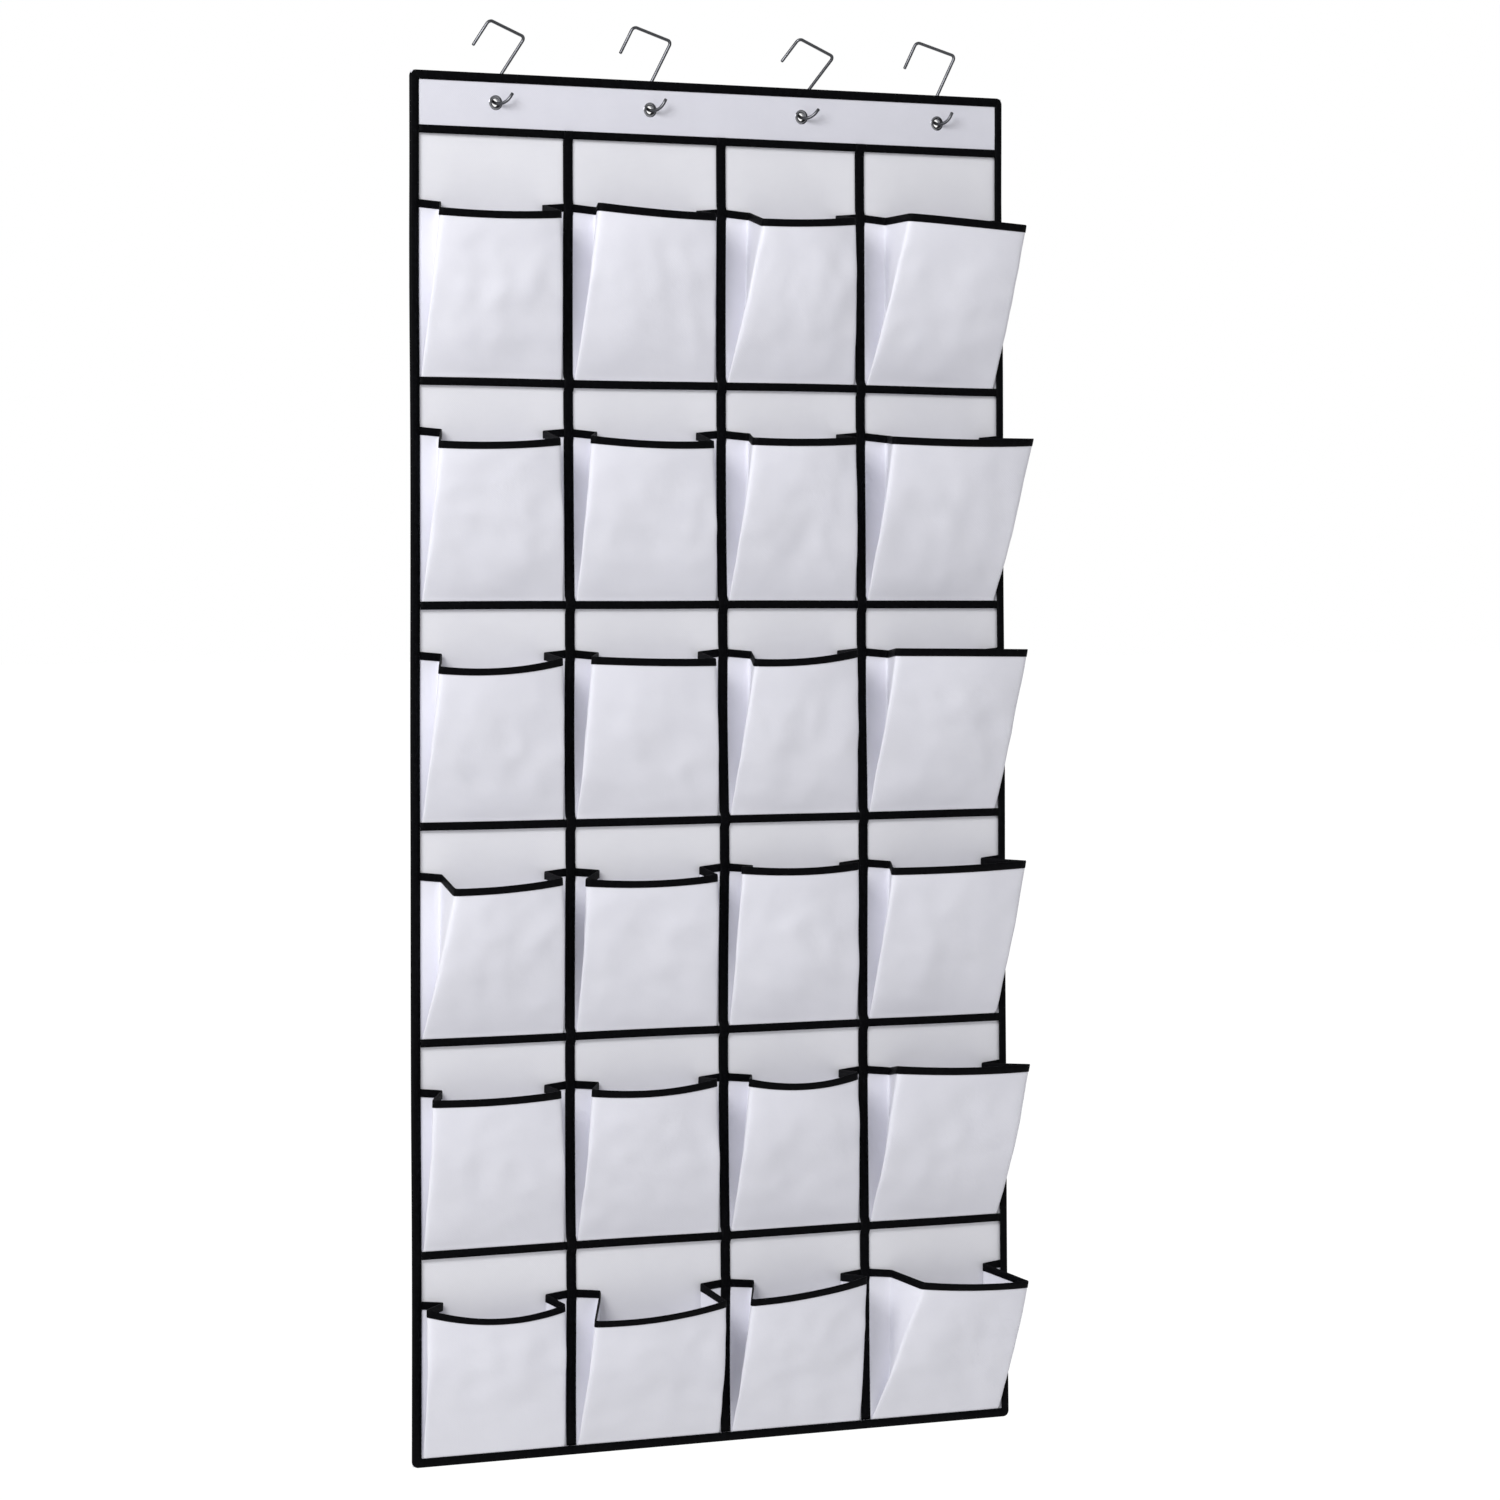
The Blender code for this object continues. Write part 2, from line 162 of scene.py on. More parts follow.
# %% [markdown]
# ## Materials
# One function turns a hex colour into linear light, and one adds a node with its settings and links.
# Each material is a Principled BSDF whose base values are typical for the real stuff, and whose
# pattern is worked out from a size in millimetres on the piece's own UV map.
# %% Colour and node helpers
def linear(code):
    """An sRGB hex colour as linear RGBA."""
    channels = [int(code[i:i + 2], 16) / 255 for i in (1, 3, 5)]
    return [c / 12.92 if c <= 0.04045 else ((c + 0.055) / 1.055) ** 2.4 for c in channels] + [1.0]


def add_node(owner, kind, settings=None, **inputs):
    """Adds a node. A setting is one of its properties; an input is a value, or a socket to link from."""
    tree = owner.node_tree
    node = tree.nodes.new(kind)
    for name, value in (settings or {}).items():
        setattr(node, name, value)
    for name, value in inputs.items():
        socket = node.inputs[int(name[1:])] if name[0] == "_" else node.inputs[name.replace("_", " ")]
        if isinstance(value, bpy.types.NodeSocket):
            tree.links.new(value, socket)
        else:
            socket.default_value = value
    return node


def new_material(name, roughness, metallic=0.0):
    material = bpy.data.materials.new(name)
    material.use_nodes = True
    shader = material.node_tree.nodes["Principled BSDF"]
    shader.inputs["Roughness"].default_value = roughness
    shader.inputs["Metallic"].default_value = metallic
    return material, shader


def link(owner, output, socket):
    owner.node_tree.links.new(output, socket)


# %% [markdown]
# ### Non-woven polypropylene
# The pockets, the panel and the header are spunbond: fine plastic fibres laid at random and pressed
# together by a roller with small points. That gives a soft, dull, slightly see-through sheet with a
# faint grid of dents and cloudy streaks where the fibres lie thicker. The real points are about 1 mm
# apart; they are drawn 1.8 mm apart so that they can be seen. A little subsurface light makes the sheet
# look thin. The header's cloth is the same cloth painted a little darker than the rest: painted shade
# standing in for the dimmer light that falls on the header.
# %% Spunbond cloth
BOND_PITCH = 0.0018
CLOUD_SIZE = 0.045
FIBRE_SIZE = 0.0009
BOND_ANGLE = math.radians(45)


def spunbond(name, light, shade):
    material, shader = new_material(name, roughness=0.62)
    uv = add_node(material, "ShaderNodeTexCoord").outputs["UV"]
    turned = add_node(material, "ShaderNodeMapping", Vector=uv, Rotation=(0, 0, BOND_ANGLE))
    streak = add_node(material, "ShaderNodeMapping", Vector=uv, Scale=(1.0, 0.35, 1.0))
    cloud = add_node(material, "ShaderNodeTexNoise", Vector=uv, Scale=1 / CLOUD_SIZE, Detail=4.0)
    fibre = add_node(material, "ShaderNodeTexNoise", Vector=streak.outputs["Vector"],
                     Scale=1 / FIBRE_SIZE, Detail=3.0, Distortion=0.6)
    points = add_node(material, "ShaderNodeTexVoronoi", {"voronoi_dimensions": "2D"},
                      Vector=turned.outputs["Vector"], Scale=1 / BOND_PITCH, Randomness=0.0)
    dent = add_node(material, "ShaderNodeMapRange", Value=points.outputs["Distance"],
                    From_Min=0.16, From_Max=0.34)
    colour = add_node(material, "ShaderNodeMix", {"data_type": "RGBA"},
                      Factor=cloud.outputs["Fac"], _6=linear(shade), _7=linear(light))
    relief = add_node(material, "ShaderNodeMath", {"operation": "MULTIPLY_ADD"},
                      _0=fibre.outputs["Fac"], _1=0.6, _2=dent.outputs["Result"])
    bump = add_node(material, "ShaderNodeBump", Height=relief.outputs["Value"], Strength=0.35,
                    Distance=0.00012)
    rough = add_node(material, "ShaderNodeMapRange", Value=dent.outputs["Result"],
                     To_Min=0.48, To_Max=0.66)
    link(material, colour.outputs[2], shader.inputs["Base Color"])
    link(material, rough.outputs["Result"], shader.inputs["Roughness"])
    link(material, bump.outputs["Normal"], shader.inputs["Normal"])
    shader.inputs["Subsurface Weight"].default_value = 0.25
    shader.inputs["Subsurface Radius"].default_value = (1.0, 1.0, 1.0)
    shader.inputs["Subsurface Scale"].default_value = 0.0015
    shader.inputs["Sheen Weight"].default_value = 0.12
    return material


pocket_spunbond = spunbond("spunbond_pocket_cloth", "#E8E8F1", "#E1E1EB")
panel_spunbond = spunbond("spunbond_panel_cloth", "#E6E6EC", "#DFDFE6")
# painted shade: the same spunbond painted a little darker for the header, in place of dimmer light there
header_spunbond_painted_shade = spunbond("spunbond_header_cloth_painted_shade", "#DDDDE7", "#D6D6E0")
print("cloth materials", pocket_spunbond.name, panel_spunbond.name, header_spunbond_painted_shade.name)

# %% [markdown]
# ### Woven binding tape
# The tape is a flat polypropylene weave, dyed black, with ribs across its width about 0.9 mm apart
# and a slightly shiny yarn. The ribs are drawn 1.4 mm apart. Their bump follows u, the length of the
# tape, and a softer one follows v, so that the surface breaks up into small woven cells.
# %% Black tape
RIB_PITCH = 0.0014
YARN_PITCH = 0.0010
WAVE_TURNS = 20 / (2 * math.pi)      # a wave texture of scale 1 has this many bands in a metre


def woven_tape(name, colour, worn):
    material, shader = new_material(name, roughness=0.55)
    uv = add_node(material, "ShaderNodeTexCoord").outputs["UV"]
    ribs = add_node(material, "ShaderNodeTexWave", {"bands_direction": "X"}, Vector=uv,
                    Scale=1 / RIB_PITCH / WAVE_TURNS, Distortion=0.3)
    yarns = add_node(material, "ShaderNodeTexWave", {"bands_direction": "Y"}, Vector=uv,
                     Scale=1 / YARN_PITCH / WAVE_TURNS)
    lint = add_node(material, "ShaderNodeTexNoise", Vector=uv, Scale=220.0, Detail=5.0)
    weave = add_node(material, "ShaderNodeMath", {"operation": "MULTIPLY_ADD"},
                     _0=yarns.outputs["Fac"], _1=0.5, _2=ribs.outputs["Fac"])
    bump = add_node(material, "ShaderNodeBump", Height=weave.outputs["Value"], Strength=0.6,
                    Distance=0.00015)
    dust = add_node(material, "ShaderNodeMapRange", Value=lint.outputs["Fac"], From_Min=0.45, From_Max=0.8)
    tint = add_node(material, "ShaderNodeMix", {"data_type": "RGBA"}, Factor=dust.outputs["Result"],
                    _6=linear(colour), _7=linear(worn))
    rough = add_node(material, "ShaderNodeMapRange", Value=ribs.outputs["Fac"], To_Min=0.72, To_Max=0.5)
    link(material, tint.outputs[2], shader.inputs["Base Color"])
    link(material, rough.outputs["Result"], shader.inputs["Roughness"])
    link(material, bump.outputs["Normal"], shader.inputs["Normal"])
    shader.inputs["Specular IOR Level"].default_value = 0.06
    return material


black_tape = woven_tape("woven_black_tape", "#030305", "#0A0B0E")
thread = woven_tape("black_thread", "#07080B", "#0E1013")
print("tape and thread materials", black_tape.name, thread.name)

# %% [markdown]
# ### Metal and board
# The hooks are drawn steel wire with nickel plate, and the eyelets are pressed from nickel-plated
# sheet. Both are bright metals with fine marks: drawing leaves faint lines along the wire, pressing
# leaves a satin bloom. The board in the header is grey recycled pulp with visible flecks.
# %% Plated metal and pulp board
def plated(name, colour, roughness, grain, stretch):
    material, shader = new_material(name, roughness, metallic=1.0)
    place = add_node(material, "ShaderNodeTexCoord").outputs["Object"]
    along = add_node(material, "ShaderNodeMapping", Vector=place, Scale=stretch)
    marks = add_node(material, "ShaderNodeTexNoise", Vector=along.outputs["Vector"], Scale=1 / grain,
                     Detail=4.0)
    rough = add_node(material, "ShaderNodeMapRange", Value=marks.outputs["Fac"],
                     To_Min=roughness * 0.7, To_Max=roughness * 1.4)
    bump = add_node(material, "ShaderNodeBump", Height=marks.outputs["Fac"], Strength=0.06,
                    Distance=0.00005)
    shader.inputs["Base Color"].default_value = linear(colour)
    link(material, rough.outputs["Result"], shader.inputs["Roughness"])
    link(material, bump.outputs["Normal"], shader.inputs["Normal"])
    return material


def pulp_board(name, colour, fleck):
    material, shader = new_material(name, roughness=0.9)
    place = add_node(material, "ShaderNodeTexCoord").outputs["Object"]
    pulp = add_node(material, "ShaderNodeTexNoise", Vector=place, Scale=900.0, Detail=6.0)
    flecks = add_node(material, "ShaderNodeMapRange", Value=pulp.outputs["Fac"], From_Min=0.4, From_Max=0.7)
    tint = add_node(material, "ShaderNodeMix", {"data_type": "RGBA"}, Factor=flecks.outputs["Result"],
                    _6=linear(colour), _7=linear(fleck))
    bump = add_node(material, "ShaderNodeBump", Height=pulp.outputs["Fac"], Strength=0.3, Distance=0.0001)
    link(material, tint.outputs[2], shader.inputs["Base Color"])
    link(material, bump.outputs["Normal"], shader.inputs["Normal"])
    return material


wire_nickel = plated("nickel_plated_wire", "#5E5F63", 0.30, 0.0040, (1.0, 1.0, 0.15))
eyelet_nickel = plated("nickel_plated_sheet", "#909196", 0.13, 0.0010, (1.0, 1.0, 1.0))
board_pulp = pulp_board("recycled_pulp_board", "#8E8A82", "#5F5B55")
board = frame["nodes"]["header_stiffener"]
board.data.materials.clear()
board.data.materials.append(board_pulp)
print("metals and board", wire_nickel.name, eyelet_nickel.name, board_pulp.name)

# %% [markdown]
# ## Punched holes
# Each eyelet sits in a hole through the header's layers. The holes are cut the way a punch does it:
# four round cutters are subtracted from the sheet once it has its thickness, and then removed.
# %% The punch
eyelets = []
for number in HOOKS:
    low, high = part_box(f"eyelet_{number}")
    eyelets.append(((low + high) / 2, low, high))
PUNCH_RADIUS = 0.0058
PUNCH_DEPTH = 0.03


def punch(obj):
    bm = bmesh.new()
    for middle, _, _ in eyelets:
        upright = Matrix.Translation(middle) @ Matrix.Rotation(math.radians(90), 4, "X")
        bmesh.ops.create_cone(bm, cap_ends=True, segments=32, radius1=PUNCH_RADIUS,
                              radius2=PUNCH_RADIUS, depth=PUNCH_DEPTH, matrix=upright)
    tool = bpy.data.objects.new("punch", bpy.data.meshes.new("punch"))
    bm.to_mesh(tool.data)
    bm.free()
    bpy.context.scene.collection.objects.link(tool)
    cut = obj.modifiers.new("holes", "BOOLEAN")
    cut.object = tool
    cut.solver = "EXACT"
    solid = bpy.data.meshes.new_from_object(obj.evaluated_get(bpy.context.evaluated_depsgraph_get()))
    obj.modifiers.clear()
    obj.data = solid
    bpy.data.objects.remove(tool)
    return len(solid.polygons)


# %% [markdown]
# ## The back panel and the header band
# The panel is one sheet of spunbond, and the header is a second one over the board. A grid fine enough
# for soft waves is all they need. The header swells a little over its board between its two seams.
# %% Panel and header cloth
PANEL_THICKNESS = 0.0005
SHEET_THICKNESS = 0.0006
HEM = 0.0012                  # cut edge inside the fold of the binding
PANEL_GRID, HEADER_GRID = (96, 180), (160, 16)
PANEL_FORWARD = 0.0003
HEADER_LIFT, HEADER_SWELL = 0.0004, 0.0006        # off the band's front face, and more in the middle
panel_size = (RIGHT - LEFT - 2 * HEM, TOP - BOTTOM - 2 * HEM)
header_low, header_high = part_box("header_band")
header_size = (panel_size[0], header_high.z - header_low.z)


def panel_point(column, row):
    return at(LEFT + HEM + panel_size[0] * column / PANEL_GRID[0], PANEL_FORWARD,
              BOTTOM + HEM + panel_size[1] * row / PANEL_GRID[1])


def header_point(column, row):
    share = row / HEADER_GRID[1]
    forward = PANEL_BACK - header_high.y + HEADER_LIFT + HEADER_SWELL * math.sin(math.pi * share)
    return at(header_low.x + header_size[0] * column / HEADER_GRID[0], forward,
              header_low.z + header_size[1] * share)


panel = add_piece("panel_cloth", flat_grid(*PANEL_GRID, panel_size, panel_point), panel_spunbond,
                  stands_for=["back_panel"])
header = add_piece("header_cloth", flat_grid(*HEADER_GRID, header_size, header_point), header_spunbond_painted_shade,
                   stands_for=["header_band"])
print("panel faces", punch(thicken(panel, PANEL_THICKNESS)))
print("header faces", punch(thicken(header, SHEET_THICKNESS)))

# %% [markdown]
# ## How a pocket is folded
# A pocket is a strip wider than its column. Its sides are sewn down at the column seams, run in
# along the panel, fold back on themselves and come out again to the front, like a letter Z seen from
# above. Under the row tape the Z lies flat, and at the mouth it is pulled 35 to 75 mm open. So a
# pocket is a folded line at each height, from the flat line at the tape to the open one at the mouth.
# Each mouth hangs open in its own way, which the table gives in millimetres.
# %% The mouths
FOLD_INSET = 0.033            # the fold on the panel, from the seam
FOLD_FORWARD = 0.0062
FOLD_DROP = 0.003
PLEAT_OPEN = 0.002
PLEAT_MARGIN = 0.0077         # a flat pleat's front edge, from the seam
OUTER_MARGIN = 0.0117         # the same beside the binding
FLANGE, PLEAT, FRONT = 0.0013, 0.0023, 0.0032     # forward of the layers where they lie flat
FLAT_LAYER = 0.00045          # half the gap between two layers that lie flat
FRONT_BULGE = 0.006
FLAT_UNDER_TAPE, FLAT_UNDER_BINDING = 0.0090, 0.0101      # height of the stretch that lies flat
BELLY = 0.004                 # how far the front swells halfway up
SWELL, CREASE, PUCKER = 0.0038, 0.0028, 0.0013    # unevenness of the cloth, from wide to fine
# left inset, right inset, depth, left corner drop, right corner drop, sag of the front
MOUTHS = (
    ((7, 39, 62, 13, 12, 3), (8, 40, 62, 2, 9, 2), (22, 40, 62, 13, 8, 2), (32, 2, 62, 1, 9, 0)),
    ((6, 40, 60, 17, 12, 3), (2, 38, 56, 9, 13, 3), (10, 39, 60, 9, 7, 2), (2, 2, 75, 6, 5, 2)),
    ((6, 38, 60, 16, 8, 6), (2, 37, 54, 7, 10, 1), (11, 38, 60, 11, 1, 4), (14, 2, 60, 0, 2, 0)),
    ((24, 40, 62, 16, 7, 2), (2, 28, 38, 11, 10, 4), (2, 29, 42, 2, 1, 4), (10, 2, 55, 8, 5, 1)),
    ((2, 35, 50, 9, 6, 2), (2, 37, 55, 6, 1, 6), (4, 39, 58, 3, 1, 8), (14, 2, 60, -3, 2, 2)),
    ((2, 24, 35, 6, 11, 12), (2, 29, 58, 29, 16, 5), (4, 29, 58, 17, 1, 3), (48, 2, 55, 13, 20, 2)),
)
SPANS = (8, 3, 12, 2, 36, 2, 12, 3, 8)            # grid columns in each stretch of the folded line
FRONT_START = sum(SPANS[:4])
LINE = sum(SPANS)
print("a pocket's cloth has", LINE, "columns")

# %% [markdown]
# The folded line is a few corner points joined by straight stretches. The front is then pushed out
# and let sag as a shallow arc, and two passes of averaging round the folds as pressed cloth does.
# %% The folded line
def pocket_facts(row, column):
    low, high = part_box(f"pocket_r{row + 1}_c{column + 1}")
    last = row == ROWS - 1        # its lower edge is under the binding
    flat_top = low.z + (FLAT_UNDER_BINDING if last else FLAT_UNDER_TAPE)
    left_cover = PLEAT_MARGIN if column else OUTER_MARGIN
    right_cover = PLEAT_MARGIN if column < COLUMNS - 1 else OUTER_MARGIN
    return dict(left=low.x, right=high.x, bottom=low.z, flat=flat_top, mouth=high.z, seed=row * 7 + column,
                covers=(left_cover, right_cover), shape=[v / 1000 for v in MOUTHS[row][column]])


def fold_corners(facts, opened):
    """The line's corners at one height, from 0 at the flat pleats to 1 at the mouth."""
    left_inset, right_inset, depth, left_drop, right_drop, _ = facts["shape"]

    def side(seam, direction, cover, inset, drop):
        fold = seam + direction * FOLD_INSET
        corner = seam + direction * (cover + (inset - cover) * opened)
        layer = FLAT_LAYER + (PLEAT_OPEN - FLAT_LAYER) * opened
        fold_forward = PLEAT - FLAT_LAYER + (FOLD_FORWARD - PLEAT + FLAT_LAYER) * opened
        front = FRONT + (depth - FRONT) * opened + BELLY * math.sin(math.pi * opened)
        return [(seam, FLANGE, 0.0), (fold, fold_forward - layer, -FOLD_DROP * opened),
                (fold, fold_forward + layer, -FOLD_DROP * opened),
                (corner, front - 2 * layer, -drop * opened), (corner, front, -drop * opened)]

    start = side(facts["left"], 1, facts["covers"][0], left_inset, left_drop)
    end = side(facts["right"], -1, facts["covers"][1], right_inset, right_drop)
    return [Vector(p) for p in start + end[::-1]]


def soften(points, passes):
    for _ in range(passes):
        middle = [(a + b * 2 + c) / 4 for a, b, c in zip(points, points[1:], points[2:])]
        points = [points[0]] + middle + [points[-1]]
    return points


def folded_line(facts, opened):
    """The pocket's line at one height as points (x, forward, change of height)."""
    corners = fold_corners(facts, opened)
    points = []
    for start, end, count in zip(corners, corners[1:], SPANS):
        points += [start.lerp(end, i / count) for i in range(count)]
    points.append(corners[-1])
    for i, point in enumerate(points):
        across = (i - FRONT_START) / SPANS[4]
        if 0 < across < 1:
            arc = 4 * across * (1 - across)
            point.y += FRONT_BULGE * opened * arc
            point.z -= facts["shape"][5] * arc * opened ** 3
        spot = Vector((i * 0.055, opened * 2.1, facts["seed"] * 3.7))
        crease = abs(noise.noise(spot * 1.9 + Vector((opened, 0, 0)))) * CREASE
        pucker = noise.noise(spot * 3.3 + Vector((opened * 2, 5, 0))) * PUCKER
        swell = noise.noise(spot) * SWELL - crease + pucker
        loose = smooth_step(min(i, LINE - i) / FRONT_START)      # none at the sewn edges
        point.y += swell * loose * math.sin(math.pi * min(opened, 0.93)) ** 0.7
    return soften(points, 2)


test = folded_line(pocket_facts(0, 0), 1.0)
print("cut width of a pocket", round(sum((b - a).length for a, b in zip(test, test[1:])), 3))

# %% [markdown]
# ## The pockets
# Twenty-four strips are hung on their folded lines. The lowest two rows of each grid lie flat under
# the row tape, and the others climb to the mouth. A skin of 0.6 mm gives the cloth its two faces.
# %% Pocket cloth
FLAT_ROWS = 2
CLIMB = 34                    # grid rows from the flat pleats to the mouth


def pocket_level(facts, row):
    """The folded line of one grid row, and the height that it starts from."""
    if row < FLAT_ROWS:
        height = facts["bottom"] + (facts["flat"] - facts["bottom"]) * row / FLAT_ROWS
        return folded_line(facts, 0.0), height
    opened = (row - FLAT_ROWS) / CLIMB
    return folded_line(facts, opened), facts["flat"] + (facts["mouth"] - facts["flat"]) * opened


pockets = []
for row in range(ROWS):
    for column in range(COLUMNS):
        facts = pocket_facts(row, column)
        levels = [pocket_level(facts, i) for i in range(FLAT_ROWS + CLIMB + 1)]
        middle = levels[CLIMB // 2][0]
        cut = sum((b - a).length for a, b in zip(middle, middle[1:]))
        size = (cut, facts["mouth"] - facts["bottom"])

        def pocket_point(i, j):
            line, height = levels[j]
            return at(line[i].x, line[i].y, height + line[i].z)

        name = f"r{row + 1}_c{column + 1}"
        bm = flat_grid(LINE, FLAT_ROWS + CLIMB, size, pocket_point)
        pocket = add_piece(f"pocket_cloth_{name}", bm, pocket_spunbond,
                           stands_for=[f"pocket_{name}"])
        thicken(pocket, SHEET_THICKNESS)
        pockets.append(pocket)
print(len(pockets), "pockets, the last one cut", [round(v, 3) for v in size])

# %% [markdown]
# ## Tape folded over the mouths
# One tape runs along each row: over the raw edge of each pocket in turn, in and out of every pleat. It
# is a strip folded in half along its length, so its grid runs from the front leg, over the edge and
# down the back leg, on the same folded line as the cloth and just over half a millimetre off it.
# %% Rim tapes
RIM_WIDTH = 0.008
RIM_LENGTH = 1.30             # for the weave; along the folds the rows measure 1.27 to 1.37
TAPE_THICKNESS = 0.0005
TAPE_CLEARANCE = 0.00062      # tape centre from cloth centre
# distance below the edge, and side of the cloth: -1 in front, 1 behind
RIM_FOLD = ((1.0, -1), (0.7, -1), (0.35, -1), (0.06, -1), (-0.08, -0.5), (-0.08, 0.5),
            (0.06, 1), (0.35, 1), (0.7, 1), (1.0, 1))


def beside(line, i):
    """The level direction that points to the back of the cloth."""
    along = (line[min(i + 1, LINE)] - line[max(i - 1, 0)])
    return Vector((along.y, -along.x, 0.0)).normalized()


for row in range(ROWS):
    fold_lines = []
    for column in range(COLUMNS):
        facts = pocket_facts(row, column)
        rise = facts["mouth"] - facts["flat"]
        for below, _ in RIM_FOLD:
            opened = min(1.0, 1 - below * RIM_WIDTH / rise)
            height = facts["flat"] + rise * (1 - below * RIM_WIDTH / rise)
            fold_lines.append((folded_line(facts, opened), height))

    def rim_point(i, j):
        column = min(i // LINE, COLUMNS - 1)
        line, height = fold_lines[column * len(RIM_FOLD) + j]
        step = i - column * LINE
        shift = beside(line, step) * RIM_FOLD[j][1] * TAPE_CLEARANCE
        return at(line[step].x + shift.x, line[step].y + shift.y, height + line[step].z)

    size = (RIM_LENGTH, 2 * RIM_WIDTH)
    bm = flat_grid(LINE * COLUMNS, len(RIM_FOLD) - 1, size, rim_point)
    tape = add_piece(f"rim_tape_row_{row + 1}", bm, black_tape,
                     stands_for=[f"pocket_rim_tape_{row + 1}"])
    thicken(tape, TAPE_THICKNESS)

# %% [markdown]
# ## Row, header and column tapes
# These are flat strips sewn over the seams. A row tape lies over the pleats, so it keeps one height.
# A column tape lies over everything else: it climbs over each row tape and rim and drops back to the
# panel between them, and column_forward() says where.
# %% Flat tapes
def strip(name, node, columns, rows, forward, along_z=False):
    """A flat tape in the box of its CAD node; forward(z) says how high it lies."""
    low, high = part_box(node)
    wide, tall = high.x - low.x, high.z - low.z
    size = (tall, wide) if along_z else (wide, tall)

    def strip_point(i, j):
        if along_z:
            x, z = high.x - wide * j / rows, low.z + tall * i / columns
        else:
            x, z = low.x + wide * i / columns, low.z + tall * j / rows
        crown = CROWN * math.sin(math.pi * j / rows)
        return at(x, forward(z) + crown, z)

    bm = flat_grid(columns, rows, size, strip_point)
    if along_z:
        bmesh.ops.recalc_face_normals(bm, faces=bm.faces)
    tape = add_piece(name, bm, black_tape, stands_for=[node])
    return thicken(tape, TAPE_THICKNESS)


ROW_TAPE_FORWARD = 0.0041
HEADER_TAPE_FORWARD = 0.0040
CROWN = 0.00025               # how far a tape's middle stands off its edges
COLUMN_TAPE_FORWARD, OVER_ROW, OVER_RIM = 0.0024, 0.0028, 0.0012
ROW_REACH, HEADER_REACH, RIM_REACH = 0.006, 0.008, 0.006      # length of the slope up to each tape
RIM_MIDDLE = 0.004            # a rim tape's middle, below the mouth
TAPE_GRID, COLUMN_TAPE_GRID = (150, 3), (420, 4)
tape_rows = [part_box(f"row_tape_{i + 1}") for i in range(ROWS - 1)]
rim_heights = [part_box(f"pocket_r{i + 1}_c1")[1].z for i in range(ROWS)]


def climb(distance, reach):
    """1 within 0.6 of the reach of a tape's middle, easing to 0 at 1.6 of it."""
    return smooth_step(1.6 - abs(distance) / reach)


def column_forward(z):
    """How far forward a column tape lies at a height."""
    over_row = max(climb(z - (low.z + high.z) / 2, ROW_REACH) for low, high in tape_rows)
    over_row = max(over_row, climb(z - BOARD_END, HEADER_REACH))
    over_rim = max(climb(z - height + RIM_MIDDLE, RIM_REACH) for height in rim_heights)
    return COLUMN_TAPE_FORWARD + max(OVER_ROW * over_row, OVER_RIM * over_rim)


flat_tapes = [strip("header_edge_tape", "header_tape", *TAPE_GRID, lambda z: HEADER_TAPE_FORWARD)]
for number in range(1, ROWS):
    flat_tapes.append(strip(f"row_seam_tape_{number}", f"row_tape_{number}", *TAPE_GRID,
                            lambda z: ROW_TAPE_FORWARD))
for number in range(1, COLUMNS):
    flat_tapes.append(strip(f"column_seam_tape_{number}", f"column_tape_{number}", *COLUMN_TAPE_GRID,
                            column_forward, along_z=True))
print(len(flat_tapes), "flat tapes")

# %% [markdown]
# ## The edge binding
# A single tape is folded over the edge of the panel and runs all the way round, with small round
# corners. Its grid goes round the rectangle once and across the fold from the front leg to the back
# leg. The two ends meet, so the seam of the grid is merged.
# %% Binding
CORNER = 0.007                # radius of the outer corners
BINDING = 0.010               # width of each leg
CORNER_STEPS = 8
SIDE_STEPS = (110, 220)       # grid columns along a short and a long side
# inset from the edge as a share of the leg, and forward of the panel's back
BINDING_FOLD = ((1.0, 0.0040), (0.6, 0.0042), (0.25, 0.0041), (0.07, 0.0037), (0.02, 0.0028),
                (0.02, 0.0008), (0.07, -0.0002), (0.25, -0.0006), (0.6, -0.0007), (1.0, -0.0006))


def round_the_edge(inset):
    """Points round the rectangle at one inset, anticlockwise from the bottom left corner."""
    radius = max(CORNER - inset, 0.0008)
    reach = inset + radius
    corners = ((LEFT, BOTTOM, 1, 1, 180), (RIGHT, BOTTOM, -1, 1, 270),
               (RIGHT, TOP, -1, -1, 0), (LEFT, TOP, 1, -1, 90))
    points = []
    for k, (x, z, inward_x, inward_z, start) in enumerate(corners):
        centre = Vector((x + inward_x * reach, z + inward_z * reach))
        arc = []
        for i in range(CORNER_STEPS + 1):
            angle = math.radians(start + 90 * i / CORNER_STEPS)
            arc.append(centre + Vector((math.cos(angle), math.sin(angle))) * radius)
        following = corners[(k + 1) % 4]
        nx, nz = following[0] + following[2] * reach, following[1] + following[3] * reach
        angle = math.radians(following[4])
        goal = Vector((nx, nz)) + Vector((math.cos(angle), math.sin(angle))) * radius
        steps = SIDE_STEPS[k % 2]
        points += arc + [arc[-1].lerp(goal, i / steps) for i in range(1, steps)]
    return points + [points[0]]


rings = [round_the_edge(share * BINDING) for share, _ in BINDING_FOLD]


def binding_point(i, j):
    x, z = rings[j][i]
    return at(x, BINDING_FOLD[j][1], z)


around = len(rings[0]) - 1
binding_size = (2 * (RIGHT - LEFT + TOP - BOTTOM), 2 * BINDING)
bm = flat_grid(around, len(BINDING_FOLD) - 1, binding_size, binding_point, closed=True)
bmesh.ops.recalc_face_normals(bm, faces=bm.faces)
binding = add_piece("edge_binding_tape", bm, black_tape, stands_for=["edge_binding"])
thicken(binding, SHEET_THICKNESS)
print("binding", around, "columns round the edge")

